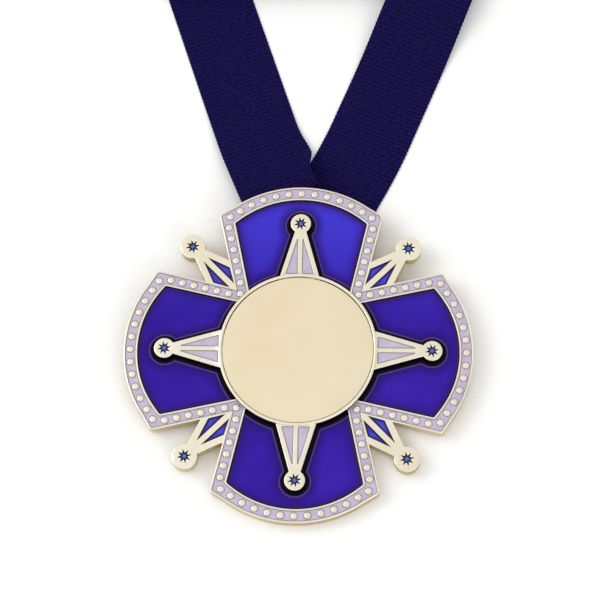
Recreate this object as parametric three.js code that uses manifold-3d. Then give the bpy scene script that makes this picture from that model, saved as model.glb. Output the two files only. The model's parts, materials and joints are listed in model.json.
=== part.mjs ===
// An enamelled cross medal on a neck ribbon, lying face up with its spare ribbon folded in a flat stack.
// Millimetres, +Z up. The origin is on the table, under the centre of the whole object's box.
// The medal is drawn flat in a frame of its own: X to the right, Y towards the top arm, Z out of the
// face, with the back at Z = 0. It then leans on its lower edge and on the ribbon under its top arm.
import * as THREE from "three";
import { mergeVertices } from "three/addons/utils/BufferGeometryUtils.js";
import Module from "manifold-3d";

// ---- driving dimensions -------------------------------------------------------------------------

const TILT = THREE.MathUtils.degToRad(2.2); // the top arm rides on the ribbon loop, so the medal leans
const FIT_GAP = 0.05; // between an enamel fill, or an inlay, and the metal round it

// heights above the medal's back
const BASE_TOP = 3.8;
const WINDOW_FLOOR = 2.5;
const ARM_ENAMEL_TOP = 3.3;
const CHANNEL_FLOOR = 3.05;
const CHANNEL_ENAMEL_TOP = 3.55;
const RAY_FLOOR = 2.9;
const RAY_ENAMEL_TOP = 3.5;
const OVERLAY_SEAT = 3.85; // underside of the overlay's cup, on the hub of the cross
const OVERLAY_SKIRT = 3.36; // underside of the overlay's rays, just clear of the blue enamel
const OVERLAY_RAY_TOP = 5.3;
const CUP_FLOOR = 4.75;
const DISC_TOP = 5.45;
const CUP_TOP = 5.9;

// one arm of the cross, as half-widths at distances from the centre
const ARM_ROOT = { half: 17.3, at: 12 };
const ARM_EAR = { half: 24.3, at: 41.9 };
const ARM_KINK = { half: 20.0, at: 44.5 };
const ARM_APEX = 50.85;
const WINDOW_ROOT = { half: 13.9, at: 14 };
const WINDOW_EAR = { half: 19.55, at: 39.4 };
const WINDOW_KINK = { half: 17.65, at: 40.85 };
const WINDOW_APEX = 46.8;
const RIM = 0.5; // width of the bright metal line on each side of the studded channel
const EAR_ROUND = 1.4;

// the hub and the disc
const HUB_R = 22.3;
const CUP_R = 22.95;
const DISC_R = 22.0;
const HUB_UNION_R = 25; // fills the middle of the cross between the arms' roots
const RIVET_SQUARE = 11; // the rivets stand at plus and minus this in X and Y
const RIVET = { shank: 1.2, head: 1.9, headThick: 0.45, bore: 1.3, top: 4.4 };

// diagonal rays of the cross, as half-widths at distances along the ray
const DIAGONAL_RAY = { root: { half: 8.4, at: 24 }, end: { half: 2.0, at: 42 } };
const DIAGONAL_TIP = { at: 45, r: 3.75 };
const DIAGONAL_WINDOW = [[28.0, 0.85], [32.5, 3.35], [39.4, 0.85]];

// raised rays of the overlay, the same way
const RAISED_RAY = { root: { half: 5.72, at: 22.5 }, end: { half: 1.55, at: 36.8 } };
const RAISED_TIP = { at: 38.8, r: 3.0 };
const RAISED_WINDOW = [[23.05, 0.63], [23.05, 4.15], [34.0, 0.95], [34.0, 0.63]];

// eight-pointed star recess in every ray's tip
const STAR = { points: 8, outer: 2.1, inner: 0.98, deep: 0.7, turn: THREE.MathUtils.degToRad(12.6) };

// ribbon loop on the back: a wire frame hinged in a soldered tube
const TUBE = { y: 26.5, z: -1.4, r: 1.3, bore: 0.9, length: 22 };
const LOOP = { wire: 1.4, inside: 33, reach: 6.5, bevel: 0.35, corner: 1.6 };
const LOOP_DROP = -0.25; // the ribbon bar lies this far below the tube's axis

// ribbon
const RIBBON_WIDTH = 25;
const RIBBON_THICK = 0.55;
const RIBBON_SHIFT = 1.5; // the turn sits this far to the right of the medal's axis
const TURN_R = 0.95; // inside radius of the ribbon's turn round the bar
const TURN_ACROSS = 28; // the ribbon crosses the bar at a slant, so it covers more than its width
const NOTCH_Y = 62; // the straps part here, and lean a little less beyond
const STRAP_LEFT = { atNotch: -11.5, lean: -0.3473 }; // centre line, and its slope beyond the notch
const STRAP_RIGHT = { atNotch: 16.9, lean: 0.3885 };
const STACK = { left: -46.6, right: 54.6, front: 118.6, top: 6.35, corner: 2.6 };
const FLOOR_GAP = 0.05;

// ---- finishes -----------------------------------------------------------------------------------

const finish = (color, roughness, metalness) => ({ color, roughness, metalness });
const GOLD = finish(0xf0e0b8, 0.28, 1);
const DISC_GOLD = finish(0xecdcb8, 0.45, 1);
const BLUE = finish(0x38209f, 0.12, 0);
const RAY_BLUE = finish(0x4655e0, 0.12, 0);
const LILAC = finish(0xcdc3e2, 0.3, 0);
const NAVY = finish(0x1a114e, 0.9, 0);

// ---- helpers ------------------------------------------------------------------------------------

const wasm = await Module();
wasm.setup();

/** A closed three.js geometry as a manifold-3d solid. */
function solid(geometry) {
  const bare = geometry.clone();
  bare.deleteAttribute("normal");
  bare.deleteAttribute("uv");
  const merged = mergeVertices(bare, 1e-4);
  return new wasm.Manifold(
    new wasm.Mesh({
      numProp: 3,
      vertProperties: new Float32Array(merged.attributes.position.array),
      triVerts: new Uint32Array(merged.index.array),
    }),
  );
}

/** A manifold-3d solid as a three.js geometry. */
function geometryOf(body) {
  const made = body.getMesh();
  const geometry = new THREE.BufferGeometry();
  geometry.setAttribute("position", new THREE.BufferAttribute(made.vertProperties, 3));
  geometry.setIndex(new THREE.BufferAttribute(made.triVerts, 1));
  geometry.computeVertexNormals();
  return geometry;
}

const union = (bodies) => bodies.reduce((all, body) => all.add(body));
const without = (body, cuts) => cuts.reduce((left, cut) => left.subtract(cut), body);

function meshOf(name, shape, look) {
  const geometry = shape.isBufferGeometry ? shape : geometryOf(shape);
  const mesh = new THREE.Mesh(geometry, new THREE.MeshStandardMaterial(look));
  mesh.name = name;
  return mesh;
}

const shapeOf = (points) => new THREE.Shape(points.map(([x, y]) => new THREE.Vector2(x, y)));

/** A prism on a flat outline, from one height to another. */
function prism(points, from, to) {
  const geometry = new THREE.ExtrudeGeometry(shapeOf(points), { depth: to - from, bevelEnabled: false });
  return geometry.translate(0, 0, from);
}

/** An upright round prism with its axis through (x, y). */
function post(radius, from, to, x = 0, y = 0, sides = 48) {
  const geometry = new THREE.CylinderGeometry(radius, radius, to - from, sides);
  return geometry.rotateX(Math.PI / 2).translate(x, y, (from + to) / 2);
}

/** The outline with every edge moved outwards by distance; its points run anticlockwise. */
function grown(points, distance) {
  return points.map((point, i) => {
    const before = points[(i + points.length - 1) % points.length];
    const after = points[(i + 1) % points.length];
    const a = new THREE.Vector2(point[0] - before[0], point[1] - before[1]).normalize();
    const b = new THREE.Vector2(after[0] - point[0], after[1] - point[1]).normalize();
    const out = new THREE.Vector2(a.y + b.y, -a.x - b.x).normalize();
    const reach = distance / Math.max(0.3, out.dot(new THREE.Vector2(a.y, -a.x)));
    return [point[0] + out.x * reach, point[1] + out.y * reach];
  });
}

/** The corner at b of the path a, b, c replaced by an arc of about the given radius. */
function rounded(a, b, c, radius, steps = 4) {
  const at = new THREE.Vector2(...b);
  const u = new THREE.Vector2(...a).sub(at).normalize();
  const v = new THREE.Vector2(...c).sub(at).normalize();
  const cut = radius / Math.tan(Math.acos(u.dot(v)) / 2);
  const curve = new THREE.QuadraticBezierCurve(
    at.clone().addScaledVector(u, cut),
    at,
    at.clone().addScaledVector(v, cut),
  );
  return curve.getPoints(steps).map((p) => [p.x, p.y]);
}

/** Points of the arc about X = 0 that runs from (half, at) over (0, apex) to (-half, at). */
function crown({ half, at }, apex, steps) {
  const rise = apex - at;
  const radius = (half * half + rise * rise) / (2 * rise);
  const spread = Math.asin(half / radius);
  return Array.from({ length: steps + 1 }, (_, i) => {
    const turn = spread * (1 - (2 * i) / steps);
    return [radius * Math.sin(turn), apex - radius + radius * Math.cos(turn)];
  });
}

const mirrored = (points) => points.map(([x, y]) => [-x, y]).reverse();

/** Outline of one fan-shaped arm or window that points along +Y. */
function fan(root, ear, kink, apex, round, steps) {
  const foot = [root.half, root.at];
  const corner = rounded(foot, [ear.half, ear.at], [kink.half, kink.at], round);
  const side = [foot, ...corner];
  return [...side, ...crown(kink, apex, steps), ...mirrored(side)];
}

const armOutline = fan(ARM_ROOT, ARM_EAR, ARM_KINK, ARM_APEX, EAR_ROUND, 16);
const windowOutline = fan(WINDOW_ROOT, WINDOW_EAR, WINDOW_KINK, WINDOW_APEX, 0.7, 14);

/** A tapered ray outline that points along +Y. */
function taper({ root, end }) {
  return [[root.half, root.at], [end.half, end.at], [-end.half, end.at], [-root.half, root.at]];
}

/** A ray's small window, given on its right side as [distance, half-width] pairs, on either side. */
function rayWindow(corners, side, shrink = 0) {
  const right = corners.map(([at, half]) => [half, at]);
  const ordered = THREE.ShapeUtils.isClockWise(right.map(([x, y]) => ({ x, y }))) ? right.reverse() : right;
  const fitted = grown(ordered, -shrink);
  return side > 0 ? fitted : mirrored(fitted);
}

/** Star outline round (0, at), drawn on an arm that will be turned by the angle about the centre. */
function starOutline(at, armTurn, shrink = 0) {
  const { points, outer, inner, turn } = STAR;
  return Array.from({ length: points * 2 }, (_, i) => {
    const radius = (i % 2 ? inner : outer) - shrink;
    const angle = turn - armTurn + Math.PI / 2 + (i * Math.PI) / points;
    return [radius * Math.cos(angle), at + radius * Math.sin(angle)];
  });
}

const turned = (geometry, angle) => geometry.rotateZ(angle);

const QUARTER = Math.PI / 2;
const ARMS = ["top", "left", "bottom", "right"].map((name, i) => ({ name, turn: i * QUARTER }));
const DIAGONALS = ["upper_left", "lower_left", "lower_right", "upper_right"].map((name, i) => ({
  name,
  turn: (i + 0.5) * QUARTER,
}));
const SIDES = [1, -1];

// ---- the cross ----------------------------------------------------------------------------------

/** The die-cast cross: arms, diagonal rays and hub in one piece, with its recesses cut. */
function baseCross() {
  const body = union([
    solid(post(HUB_UNION_R, 0, BASE_TOP)),
    ...ARMS.map(({ turn }) => solid(turned(prism(armOutline, 0, BASE_TOP), turn))),
    ...DIAGONALS.flatMap(({ turn }) => [
      solid(turned(prism(taper(DIAGONAL_RAY), 0, BASE_TOP), turn)),
      solid(turned(post(DIAGONAL_TIP.r, 0, BASE_TOP, 0, DIAGONAL_TIP.at, 24), turn)),
    ]),
  ]);
  return without(body, [
    ...ARMS.map(({ turn }) => armWindow(turn, 0, WINDOW_FLOOR, BASE_TOP + 1)),
    channel(0, CHANNEL_FLOOR, BASE_TOP + 1),
    ...DIAGONALS.flatMap(({ turn }) => [
      ...SIDES.map((side) =>
        solid(turned(prism(rayWindow(DIAGONAL_WINDOW, side), RAY_FLOOR, BASE_TOP + 1), turn)),
      ),
      solid(turned(prism(starOutline(DIAGONAL_TIP.at, turn), BASE_TOP - STAR.deep, BASE_TOP + 1), turn)),
    ]),
    ...rivetPlaces().map(([x, y]) => solid(post(RIVET.bore, -1, BASE_TOP + 1, x, y, 16))),
  ]);
}

/** The space of one arm's blue window, outside the hub. */
function armWindow(turn, shrink, from, to) {
  const window = solid(turned(prism(grown(windowOutline, -shrink), from, to), turn));
  return window.subtract(solid(post(HUB_R + shrink, from - 1, to + 1)));
}

/** The space of the studded channel, one endless band round the four windows. */
function channel(shrink, from, to) {
  const band = grown(armOutline, -RIM - shrink);
  const window = grown(windowOutline, RIM + shrink);
  const inside = union(ARMS.map(({ turn }) => solid(turned(prism(band, from, to), turn))));
  return without(inside, [
    ...ARMS.map(({ turn }) => solid(turned(prism(window, from - 1, to + 1), turn))),
    solid(post(HUB_R + shrink, from - 1, to + 1)),
  ]);
}

function rivetPlaces() {
  return SIDES.flatMap((sx) => SIDES.map((sy) => [sx * RIVET_SQUARE, sy * RIVET_SQUARE]));
}

/** Solid rivet from the back, through the hub into the overlay's cup, with a peened head behind. */
function rivet([x, y]) {
  const head = solid(post(RIVET.head, -FIT_GAP - RIVET.headThick, -FIT_GAP, x, y, 20));
  return head.add(solid(post(RIVET.shank, -FIT_GAP - 0.1, RIVET.top, x, y, 16)));
}

// ---- the raised star ----------------------------------------------------------------------------

/** The overlay casting: a shallow round cup for the disc, with four raised rays. */
function starOverlay() {
  const boreTop = RIVET.top + FIT_GAP;
  const body = union([
    solid(post(CUP_R, OVERLAY_SEAT, CUP_TOP, 0, 0, 64)),
    ...ARMS.flatMap(({ turn }) => [
      solid(turned(prism(taper(RAISED_RAY), OVERLAY_SKIRT, OVERLAY_RAY_TOP), turn)),
      solid(turned(post(RAISED_TIP.r, OVERLAY_SKIRT, OVERLAY_RAY_TOP, 0, RAISED_TIP.at, 24), turn)),
    ]),
  ]);
  return without(body, [
    solid(post(DISC_R + 0.1, CUP_FLOOR, CUP_TOP + 1, 0, 0, 64)),
    ...ARMS.flatMap(({ turn }) => [
      ...SIDES.map((side) =>
        solid(turned(prism(rayWindow(RAISED_WINDOW, side), OVERLAY_RAY_TOP - 0.7, CUP_TOP), turn)),
      ),
      solid(turned(prism(starOutline(RAISED_TIP.at, turn), OVERLAY_RAY_TOP - STAR.deep, CUP_TOP), turn)),
    ]),
    ...rivetPlaces().map(([x, y]) => solid(post(RIVET.bore, OVERLAY_SEAT - 1, boreTop, x, y, 16))),
  ]);
}

/** Enamel star in a ray's tip, its top just under the metal. */
function tipEnamel(name, turn, tip, metalTop) {
  const outline = starOutline(tip.at, turn, FIT_GAP);
  const fill = prism(outline, metalTop - STAR.deep + FIT_GAP, metalTop - 0.25);
  return meshOf(name, turned(fill, turn), RAY_BLUE);
}

// ---- ribbon loop --------------------------------------------------------------------------------

/** Tube soldered across the back of the top arm; the loop's hinge wire turns in it. */
function loopTube() {
  const { r, bore, length } = TUBE;
  const wall = [[bore, 0], [r, 0], [r, length], [bore, length], [bore, 0]];
  const tube = new THREE.LatheGeometry(wall.map(([x, y]) => new THREE.Vector2(x, y)), 20);
  return tube.translate(0, -length / 2, 0).rotateZ(-QUARTER);
}

/** Wire loop in its own plane: hinge wire along the X axis, ribbon bar at +Y. */
function ribbonLoop() {
  const { wire, inside, reach, bevel, corner } = LOOP;
  const half = inside / 2;
  const outside = half + wire;
  const top = reach + wire / 2;
  const outer = rounded([outside, 0], [outside, top], [0, top], corner);
  const inner = rounded([half, 0], [half, reach - wire / 2], [0, reach - wire / 2], corner / 2);
  const right = [[outside, 0], ...outer];
  const innerLeft = inner.map(([x, y]) => [-x, y]);
  const outline = [...right, ...mirrored(right), ...innerLeft, ...[...inner].reverse(), [half, 0]];
  outline.splice(right.length * 2, 0, [-half, 0]);
  const frame = new THREE.ExtrudeGeometry(shapeOf(grown(outline, -bevel)), {
    depth: wire - 2 * bevel,
    bevelThickness: bevel,
    bevelSize: bevel,
    bevelSegments: 1,
  });
  frame.translate(0, 0, bevel - wire / 2);
  const hinge = new THREE.CylinderGeometry(wire / 2, wire / 2, inside + wire, 12).rotateZ(QUARTER);
  return solid(frame).add(solid(hinge));
}

// ---- ribbon -------------------------------------------------------------------------------------

/** Height of the medal's own plane z, above the table, at a distance y from its centre. */
const medalHeight = (y, z = 0) => (y + ARM_APEX) * Math.sin(TILT) + z * Math.cos(TILT);

const barY = TUBE.y + LOOP.reach;
const barZ = TUBE.z + LOOP_DROP;

/** X of a strap's centre line at a distance y from the medal's centre. */
function strapCentre(y, { atNotch, lean }) {
  const fromBar = (atNotch - RIBBON_SHIFT) / (NOTCH_Y - barY);
  return atNotch + (y - NOTCH_Y) * (y < NOTCH_Y ? fromBar : lean);
}

/** A length of ribbon on a side profile of [y, underside height] pairs, slanting across the table. */
function strap(profile, route) {
  const upper = profile.map(([y, z]) => [y, z + RIBBON_THICK]).reverse();
  const side = shapeOf([...profile, ...upper]);
  const across = RIBBON_WIDTH * Math.hypot(1, route.lean);
  const geometry = new THREE.ExtrudeGeometry(side, { depth: across, bevelEnabled: false });
  geometry.rotateY(QUARTER).rotateX(QUARTER); // profile into the YZ plane, extruded along X
  const at = geometry.attributes.position;
  for (let i = 0; i < at.count; i++) at.setX(i, at.getX(i) - across / 2 + strapCentre(at.getY(i), route));
  return geometry;
}

/** The left strap leaves over the bar, follows the back of the arm and sinks to the table. */
function leftProfile() {
  const start = barY + 0.3;
  const under = barZ + TURN_R;
  return [
    [start, medalHeight(start, under)],
    [ARM_APEX, medalHeight(ARM_APEX, under) - 0.05],
    [NOTCH_Y, 2.3],
    [68, 1.3],
    [76, 0.35],
    [84, FLOOR_GAP],
    [STACK.front - 0.3, FLOOR_GAP],
  ];
}

/** The right strap lies on the table and climbs onto the folded stack. */
function rightProfile() {
  const climb = STACK.top - RIBBON_THICK - 0.05;
  return [
    [barY + 0.3, FLOOR_GAP + 0.02],
    [NOTCH_Y, FLOOR_GAP],
    [88, FLOOR_GAP],
    [96, 0.08 * climb],
    [104, 0.32 * climb],
    [111, 0.68 * climb],
    [STACK.front - 0.3, climb],
  ];
}

/** The ribbon's turn round the loop's bar, open towards +Y. */
function ribbonTurn() {
  const half = new THREE.Shape();
  half.absarc(0, 0, TURN_R + RIBBON_THICK, QUARTER, 3 * QUARTER, false);
  half.absarc(0, 0, TURN_R, 3 * QUARTER, QUARTER, true);
  const turn = new THREE.ExtrudeGeometry(half, {
    depth: TURN_ACROSS,
    bevelEnabled: false,
    curveSegments: 8,
  });
  return turn.rotateY(QUARTER).rotateX(QUARTER).translate(RIBBON_SHIFT - TURN_ACROSS / 2, 0, 0);
}

/** The spare ribbon, folded to and fro in a flat stack with rounded ends. */
function foldedStack() {
  const { left, right, front, top, corner } = STACK;
  const outline = new THREE.Shape();
  outline.absarc(left + corner, FLOOR_GAP + corner, corner, Math.PI, 3 * QUARTER, false);
  outline.absarc(right - corner, FLOOR_GAP + corner, corner, 3 * QUARTER, 4 * QUARTER, false);
  outline.absarc(right - corner, top - corner, corner, 0, QUARTER, false);
  outline.absarc(left + corner, top - corner, corner, QUARTER, Math.PI, false);
  const stack = new THREE.ExtrudeGeometry(outline, {
    depth: RIBBON_WIDTH,
    bevelEnabled: false,
    curveSegments: 5,
  });
  return stack.rotateX(QUARTER).translate(0, front + RIBBON_WIDTH, 0);
}

// ---- assembly -----------------------------------------------------------------------------------

const medal = new THREE.Group();
medal.rotation.x = TILT;
medal.position.z = ARM_APEX * Math.sin(TILT);

medal.add(meshOf("base_cross", baseCross(), GOLD));
for (const { name, turn } of ARMS) {
  const floor = WINDOW_FLOOR + FIT_GAP;
  medal.add(meshOf(`arm_enamel_${name}`, armWindow(turn, FIT_GAP, floor, ARM_ENAMEL_TOP), BLUE));
}
medal.add(meshOf("border_enamel", channel(FIT_GAP, CHANNEL_FLOOR + FIT_GAP, CHANNEL_ENAMEL_TOP), LILAC));
for (const { name, turn } of DIAGONALS) {
  for (const side of SIDES) {
    const outline = rayWindow(DIAGONAL_WINDOW, side, FIT_GAP);
    const fill = turned(prism(outline, RAY_FLOOR + FIT_GAP, RAY_ENAMEL_TOP), turn);
    medal.add(meshOf(`ray_enamel_${name}_${side > 0 ? "a" : "b"}`, fill, RAY_BLUE));
  }
  medal.add(tipEnamel(`tip_enamel_${name}`, turn, DIAGONAL_TIP, BASE_TOP));
}

medal.add(meshOf("star_overlay", starOverlay(), GOLD));
for (const { name, turn } of ARMS) {
  for (const side of SIDES) {
    const outline = rayWindow(RAISED_WINDOW, side, FIT_GAP);
    const fill = turned(prism(outline, OVERLAY_RAY_TOP - 0.65, OVERLAY_RAY_TOP - 0.15), turn);
    medal.add(meshOf(`raised_ray_enamel_${name}_${side > 0 ? "a" : "b"}`, fill, LILAC));
  }
  medal.add(tipEnamel(`tip_enamel_${name}`, turn, RAISED_TIP, OVERLAY_RAY_TOP));
}
medal.add(meshOf("centre_disc", post(DISC_R, CUP_FLOOR + FIT_GAP, DISC_TOP, 0, 0, 64), DISC_GOLD));
rivetPlaces().forEach((place, i) => medal.add(meshOf(`overlay_rivet_${i + 1}`, rivet(place), GOLD)));

const tube = meshOf("loop_tube", loopTube(), GOLD);
tube.position.set(0, TUBE.y, TUBE.z);
medal.add(tube);

const loop = meshOf("ribbon_loop", ribbonLoop(), GOLD);
loop.position.set(0, TUBE.y, TUBE.z);
loop.rotation.x = Math.atan2(LOOP_DROP, LOOP.reach);
medal.add(loop);

const ribbonTurnMesh = meshOf("ribbon_turn", ribbonTurn(), NAVY);
ribbonTurnMesh.position.set(0, barY, barZ);
medal.add(ribbonTurnMesh);

const ribbon = new THREE.Group();
ribbon.add(meshOf("ribbon_strap_left", strap(leftProfile(), STRAP_LEFT), NAVY));
ribbon.add(meshOf("ribbon_strap_right", strap(rightProfile(), STRAP_RIGHT), NAVY));
ribbon.add(meshOf("ribbon_folds", foldedStack(), NAVY));

const object = new THREE.Group();
object.add(medal, ribbon);
object.updateMatrixWorld(true);
const box = new THREE.Box3().setFromObject(object, true);
const middle = box.getCenter(new THREE.Vector3());
object.position.set(-middle.x, -middle.y, -box.min.z);

const part = new THREE.Group();
part.add(object);
export default part;
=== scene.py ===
"""An enamelled cross medal on a navy grosgrain neck ribbon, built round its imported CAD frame.

Shapes are drawn in millimetres. The medal has a frame of its own: X to the right, Y towards its top
arm, Z out of its face, with its back at Z = 0. The ribbon is drawn in the table's frame: the same X
and Y, not tilted, with Z above the table.
"""

import json
import math

import bpy
import numpy as np
from mathutils import Matrix, Vector
from mathutils.geometry import delaunay_2d_cdt


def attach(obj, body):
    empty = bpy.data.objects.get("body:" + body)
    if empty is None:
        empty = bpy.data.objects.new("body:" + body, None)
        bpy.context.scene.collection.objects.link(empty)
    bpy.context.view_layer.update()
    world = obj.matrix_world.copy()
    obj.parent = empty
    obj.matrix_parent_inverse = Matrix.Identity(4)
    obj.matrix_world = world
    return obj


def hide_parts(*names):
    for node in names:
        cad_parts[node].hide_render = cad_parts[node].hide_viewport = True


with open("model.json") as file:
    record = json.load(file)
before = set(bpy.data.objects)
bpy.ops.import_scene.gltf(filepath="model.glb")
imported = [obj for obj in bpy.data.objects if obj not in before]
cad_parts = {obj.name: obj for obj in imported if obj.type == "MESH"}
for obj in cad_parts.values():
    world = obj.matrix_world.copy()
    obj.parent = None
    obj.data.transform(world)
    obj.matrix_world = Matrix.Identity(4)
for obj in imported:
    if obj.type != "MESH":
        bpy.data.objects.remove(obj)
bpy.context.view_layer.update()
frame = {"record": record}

# ---- places taken from the frame ----

MM = 0.001
DISC_TOP = 5.45
face = next(m for m in frame["record"]["mounts"] if m["name"] == "disc_face")
face_axis = Vector(face["axis"]).normalized()
TILT = math.asin(-face_axis.y)
medal_origin = Vector(face["pos_m"]) - face_axis * DISC_TOP * MM
MEDAL = Matrix.Translation(medal_origin) @ Matrix.Rotation(TILT, 4, "X") @ Matrix.Scale(MM, 4)
TABLE = Matrix.Translation((medal_origin.x, medal_origin.y, 0)) @ Matrix.Scale(MM, 4)

# ---- driving dimensions of the metal and enamel, in mm ----

BASE_TOP = 3.8
WINDOW_FLOOR = 2.5
ARM_ENAMEL = 3.3
CHANNEL_FLOOR = 3.05
CHANNEL_ENAMEL = 3.55
RAY_FLOOR = 2.9
RAY_ENAMEL = 3.5
OVERLAY_SEAT = 3.85
OVERLAY_SKIRT = 3.36
OVERLAY_TOP = 5.3
CUP_FLOOR = 4.75
CUP_TOP = 5.9

ARM = {"root": (17.3, 12), "ear": (24.3, 41.9), "kink": (20.0, 44.5), "apex": 50.85, "round": 1.4}
WINDOW = {"root": (13.9, 14), "ear": (19.55, 39.4), "kink": (17.65, 40.85), "apex": 46.8, "round": 0.7}
RIM = 0.5  # width of the bright metal line on each side of the studded channel
HUB_R = 22.3
CUP_R = 22.95
DISC_R = 22.0
RIVET = {"square": 11, "bore": 1.3, "shank": 1.2, "head": 1.9, "head_thick": 0.45, "top": 4.4}
CLEAR = 0.05  # between parts that lie on each other
ROUND = 180  # sides of the cup's and the disc's circles
SIDES = (1, -1)

# rays and their windows: half-widths at distances along the ray
DIAGONAL = {"root": (8.4, 24), "end": (2.0, 42), "tip": 45, "tip_r": 3.75}
DIAGONAL_WINDOW = [(0.85, 28.0), (3.35, 32.5), (0.85, 39.4)]
RAISED = {"root": (5.72, 22.5), "end": (1.55, 36.8), "tip": 38.8, "tip_r": 3.0, "deep": 0.7}
RAISED_WINDOW = [(0.63, 23.05), (4.15, 23.05), (0.95, 34.0), (0.63, 34.0)]

STAR = {"outer": 2.1, "inner": 0.98, "deep": 0.7, "turn": math.radians(12.6)}
STAR_DOT = 0.66  # radius of the bright spot in a star recess
STUD = {"outer": 1.08, "inner": 0.8, "top": 3.8, "gap": 3.85}
CORNER_STUD = (21.0, 41.3)
JUNCTION_STUD = (17.3, 17.3)
SIDE_STUDS = 6
CROWN_STUDS = 11

TUBE = {"y": 26.5, "z": -1.4, "r": 1.3, "bore": 0.9, "length": 22}
LOOP = {"wire": 0.7, "inside": 33, "reach": 6.5, "corner": 1.6, "drop": -0.25}
AT_TUBE = MEDAL @ Matrix.Translation((0, TUBE["y"], TUBE["z"]))

QUARTER = math.pi / 2
ARM_NAMES = ("top", "left", "bottom", "right")
CORNER_NAMES = ("upper_left", "lower_left", "lower_right", "upper_right")
STRAIGHT = [(name, i * QUARTER) for i, name in enumerate(ARM_NAMES)]
SLANTED = [(name, (i + 0.5) * QUARTER) for i, name in enumerate(CORNER_NAMES)]

# ---- outlines ----


def unit(v):
    """The vectors at length 1."""
    return v / np.maximum(np.linalg.norm(v, axis=-1, keepdims=True), 1e-12)


def turned(points, angle):
    c, s = math.cos(angle), math.sin(angle)
    return np.asarray(points, float) @ np.array([[c, s], [-s, c]])


def mirrored(points):
    return (np.asarray(points, float) * (-1, 1))[::-1]


def offset(loop, distance):
    """The anticlockwise loop with every edge moved outwards."""
    a, b = unit(loop - np.roll(loop, 1, 0)), unit(np.roll(loop, -1, 0) - loop)
    out = unit(np.stack([a[:, 1] + b[:, 1], -a[:, 0] - b[:, 0]], 1))  # halfway between two edges' normals
    lean = out[:, 0] * a[:, 1] - out[:, 1] * a[:, 0]
    return loop + out * (distance / np.maximum(lean, 0.3))[:, None]


def resampled(loop, step):
    """The loop with its long edges divided, so that no edge is longer than step."""
    ends = np.roll(loop, -1, 0)
    counts = np.maximum(1, np.ceil(np.linalg.norm(ends - loop, axis=1) / step)).astype(int)
    return np.concatenate([a + (b - a) * (np.arange(n) / n)[:, None] for a, b, n in zip(loop, ends, counts)])


def arc(centre, radius, start, end, steps):
    t = np.linspace(start, end, steps + 1)
    return np.stack([centre[0] + radius * np.cos(t), centre[1] + radius * np.sin(t)], 1)


def circle(radius, steps=96, centre=(0, 0)):
    return arc(centre, radius, 0, 2 * math.pi, steps)[:-1]


def rounded(a, b, c, radius, steps):
    """The corner at b of the path a, b, c as a curve that starts and ends about radius from b."""
    a, b, c = (np.asarray(p, float) for p in (a, b, c))
    u, v = unit(a - b), unit(c - b)
    cut = radius / math.tan(math.acos(u @ v) / 2)
    t = np.linspace(0, 1, steps + 1)[:, None]
    return (1 - t) ** 2 * (b + u * cut) + 2 * t * (1 - t) * b + t**2 * (b + v * cut)


def crown_radius(kink, apex):
    rise = apex - kink[1]
    return (kink[0] ** 2 + rise**2) / (2 * rise)


def crown(kink, apex, steps):
    """The arc about X = 0 from the right kink over the apex to the left one."""
    radius = crown_radius(kink, apex)
    spread = math.asin(kink[0] / radius)
    return arc((0, apex - radius), radius, QUARTER - spread, QUARTER + spread, steps)


def fan(part):
    """Outline of one fan-shaped arm or window that points along +Y, from its right foot to its left."""
    corner = rounded(part["root"], part["ear"], part["kink"], part["round"], 8)
    side = np.vstack([[part["root"]], corner])
    top = crown(part["kink"], part["apex"], 40)
    return np.vstack([side, top, mirrored(side)])


def on_line(p, q, y):
    """The point at height y of the line through p and q."""
    return np.array([p[0] + (q[0] - p[0]) * (y - p[1]) / (q[1] - p[1]), y])


def line_meets_circle(p, q, centre, radius):
    """The two points where the line from p towards q crosses the circle, the nearer one first."""
    p, forward, c = np.asarray(p, float), unit(np.asarray(q, float) - p), np.asarray(centre, float)
    along = (c - p) @ forward
    half = math.sqrt(radius**2 - np.linalg.norm(p + along * forward - c) ** 2)
    return p + (along - half) * forward, p + (along + half) * forward


def crossing(p, u, q, v):
    """Where the line through p along u meets the line through q along v."""
    s = np.linalg.solve(np.array([[u[0], -v[0]], [u[1], -v[1]]]), np.asarray(q, float) - p)
    return np.asarray(p, float) + s[0] * np.asarray(u, float)


def four(points):
    """A quarter of an outline repeated round the centre."""
    return np.vstack([turned(points, i * QUARTER) for i in range(4)])


def arms_outline(grow):
    """The union of the four arms: each starts at the corner that it shares with the arm before it."""
    arm = fan(ARM)[1:-1]
    corner = crossing(ARM["root"], arm[0] - ARM["root"], (0, 0), (1, 1))
    return offset(four(np.vstack([[corner], arm])), grow)


def clipped_to_hub(loop, radius):
    """A fan's loop from where its right side leaves the hub circle to where its left side enters it."""
    _, start = line_meets_circle(loop[0], loop[1], (0, 0), radius)
    return np.vstack([[start], loop[1:-1], [start * (-1, 1)]])


def window_outline(grow=0.0):
    """One arm's blue window, closed by an arc of the hub."""
    open_part = clipped_to_hub(offset(fan(WINDOW), grow), HUB_R - grow)
    (x0, y0), (x1, y1) = open_part[-1], open_part[0]
    hub = arc((0, 0), HUB_R - grow, math.atan2(y0, x0), math.atan2(y1, x1), 24)
    return np.vstack([open_part, hub[1:-1]])


def band_inside(grow=0.0):
    """Inner edge of the studded channel: four windows with their rims, joined by arcs of the hub."""
    arm = clipped_to_hub(offset(fan(WINDOW), RIM + grow), HUB_R + grow)
    first, last = arm[0], arm[-1]
    start = math.atan2(last[1], last[0])
    end = math.atan2(first[1], first[0]) + QUARTER
    return four(np.vstack([arm, arc((0, 0), HUB_R + grow, start, end, 8)[1:-1]]))


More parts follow.
